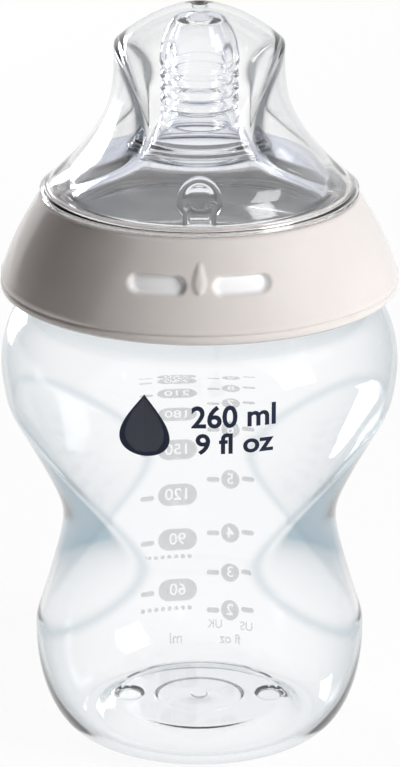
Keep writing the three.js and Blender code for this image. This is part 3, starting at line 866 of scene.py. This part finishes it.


# Each clear material: centre colour, colour of the painted edge shade and its power, and colour of the painted
# shade along the creases
CLEAR = clear_material("clear_bottle", (0.985, 0.99, 0.995), (0.16, 0.26, 0.33), 2.6,
                       (0.36, 0.47, 0.54), 0.03, 1.45, 60, 0.06)
HOOD_CLEAR = clear_material("clear_hood", (0.985, 0.985, 0.985), (0.50, 0.54, 0.57), 2.8,
                            (0.06, 0.068, 0.078), 0.02, 1.47, 60, 0.05)
SILICONE = clear_material("silicone", (0.985, 0.99, 0.995), (0.26, 0.38, 0.74), 2.4,
                          None, 0.04, 1.41, 90, 0.06)
RING = ring_material()
NAVY = ink_material("print_navy", (0.014, 0.020, 0.042), (0.018, 0.025, 0.050))
GREY = ink_material("print_grey", (0.60, 0.60, 0.62), (0.66, 0.66, 0.68), 0.29)


# ------------------------------------------------------------------ pieces

def place(obj, material, body, slot, *nodes):
    obj.data.materials.clear()
    obj.data.materials.append(material)
    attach(obj, body)
    if nodes:
        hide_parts(*nodes)
    return obj


def build_pieces():
    place(bottle_mesh(), CLEAR, "bottle", "clear_bottle", "bottle_body")
    teat = skin("teat_shell", [ring_row(r, z) for r, z in teat_outline()])
    place(teat, SILICONE, "teat", "silicone", "teat")
    place(valve_mesh(), SILICONE, "teat", "silicone")
    place(ring_mesh(), RING, "ring", "ring_plastic", "screw_ring")
    place(hood_mesh(), HOOD_CLEAR, "hood", "clear_hood", "hood")
    place(print_scale(), GREY, "bottle", "print_grey")
    place(print_front(), NAVY, "bottle", "print_navy")


build_pieces()


# ------------------------------------------------------------------ floor, light and camera

def seen_directly(nodes, links):
    """1 for camera, mirror and see-through rays, 0 for rays that gather light."""
    path = nodes.new("ShaderNodeLightPath")
    result = path.outputs["Is Camera Ray"]
    for kind in ("Is Glossy Ray", "Is Transmission Ray"):
        either = nodes.new("ShaderNodeMath")
        either.operation = "MAXIMUM"
        links.new(result, either.inputs[0])
        links.new(path.outputs[kind], either.inputs[1])
        result = either.outputs[0]
    return result


def make_world():
    """White where it is seen, and a soft fill light on the object."""
    world = bpy.data.worlds.new("studio")
    bpy.context.scene.world = world
    world.use_nodes = True
    nodes, links = world.node_tree.nodes, world.node_tree.links
    colour = ramp_between(nodes, links, seen_directly(nodes, links), (0.11, 0.102, 0.097), (1, 1, 1))
    links.new(colour, nodes["Background"].inputs["Color"])


def make_floor():
    """A wide pale floor at the foot of the bottle."""
    half = 3000
    mesh_points = [(-half, -half, 0), (half, -half, 0), (half, half, 0), (-half, half, 0)]
    floor = make_object("floor", mesh_points, [(0, 1, 2, 3)], smooth=False)
    material, nodes, links, shader = new_material("floor_white")
    shader.inputs["Roughness"].default_value = 0.6
    shader.inputs["Base Color"].default_value = (0.93, 0.93, 0.93, 1)
    shader.inputs["Specular IOR Level"].default_value = 0.2
    glow = nodes.new("ShaderNodeEmission")
    mix = nodes.new("ShaderNodeMixShader")
    shared = nodes.new("ShaderNodeMath")
    shared.operation = "MULTIPLY"
    shared.inputs[1].default_value = 0.93
    links.new(seen_directly(nodes, links), shared.inputs[0])
    links.new(shared.outputs[0], mix.inputs[0])
    links.new(shader.outputs[0], mix.inputs[1])
    links.new(glow.outputs[0], mix.inputs[2])
    links.new(mix.outputs[0], nodes["Material Output"].inputs["Surface"])
    floor.data.materials.append(material)


def area_light(name, place_at, aim, size, power, colour=(1, 1, 1)):
    data = bpy.data.lights.new(name, "AREA")
    data.shape = "RECTANGLE"
    data.size, data.size_y = size
    data.energy = power
    data.color = colour
    lamp = bpy.data.objects.new(name, data)
    lamp.visible_glossy = False
    lamp.location = place_at
    lamp.rotation_euler = (Vector(aim) - Vector(place_at)).to_track_quat("-Z", "Y").to_euler()
    bpy.context.scene.collection.objects.link(lamp)
    return lamp


def soft_border(nodes, links, width, height):
    """1 in the middle of a card, easing to 0 at its border."""
    coords = nodes.new("ShaderNodeTexCoord")
    split = nodes.new("ShaderNodeSeparateXYZ")
    links.new(coords.outputs["Object"], split.inputs[0])
    result = None
    for axis, length in (("X", width), ("Z", height)):
        away = nodes.new("ShaderNodeMath")
        away.operation = "ABSOLUTE"
        links.new(split.outputs[axis], away.inputs[0])
        fall = nodes.new("ShaderNodeMapRange")
        fall.interpolation_type = "SMOOTHSTEP"
        fall.inputs["From Min"].default_value = length / 2 * MM
        fall.inputs["From Max"].default_value = length / 2 * 0.7 * MM
        links.new(away.outputs[0], fall.inputs["Value"])
        if result is None:
            result = fall.outputs["Result"]
        else:
            both = nodes.new("ShaderNodeMath")
            both.operation = "MULTIPLY"
            links.new(result, both.inputs[0])
            links.new(fall.outputs["Result"], both.inputs[1])
            result = both.outputs[0]
    return result


def studio_card(name, centre, width, height, shade):
    """A studio card that only mirrored rays meet."""
    half = width / 2
    corners = [(-half, 0, -height / 2), (half, 0, -height / 2), (half, 0, height / 2), (-half, 0, height / 2)]
    card = make_object(name, corners, [(0, 1, 2, 3)], smooth=False)
    card.location = [c * MM for c in centre]
    aim = Vector((0, 0, 0.1)) - card.location
    card.rotation_euler = aim.to_track_quat("Y", "Z").to_euler()
    material, nodes, links, shader = new_material(name)
    glow = nodes.new("ShaderNodeEmission")
    colour = ramp_between(nodes, links, soft_border(nodes, links, width, height), (1, 1, 1), shade)
    links.new(colour, glow.inputs["Color"])
    links.new(glow.outputs[0], nodes["Material Output"].inputs["Surface"])
    card.data.materials.append(material)
    card.visible_camera = False
    card.visible_diffuse = False
    card.visible_shadow = False
    card.visible_transmission = False
    return card


def make_camera():
    """Looks down on the bottle from in front, a little above its hood."""
    distance, height, pitch = 653.8, 298.8, math.radians(19.44)
    focal_px, picture_height, sensor = 3671, 767, 36
    data = bpy.data.cameras.new("camera")
    data.sensor_fit = "VERTICAL"
    data.sensor_height = sensor
    data.lens = focal_px / picture_height * sensor
    camera = bpy.data.objects.new("camera", data)
    camera.location = (0, -distance * MM, height * MM)
    camera.rotation_euler = Euler((math.pi / 2 - pitch, 0, 0))
    data.shift_x = 0.5 / picture_height
    bpy.context.scene.collection.objects.link(camera)
    bpy.context.scene.camera = camera


make_world()
make_floor()
area_light("key", (0.80, -0.46, 0.50), (0, 0, 0.09), (0.4, 0.5), 11.0)
area_light("rim", (-0.52, 0.88, 0.16), (0, 0, 0.09), (0.35, 0.4), 13.0)
studio_card("left_card", (-420, 60, 300), 800, 600, (0.08, 0.07, 0.068))
studio_card("right_card", (300, -140, 430), 480, 480, (1.7, 1.7, 1.7))
make_camera()
bpy.context.scene.view_settings.view_transform = "Standard"
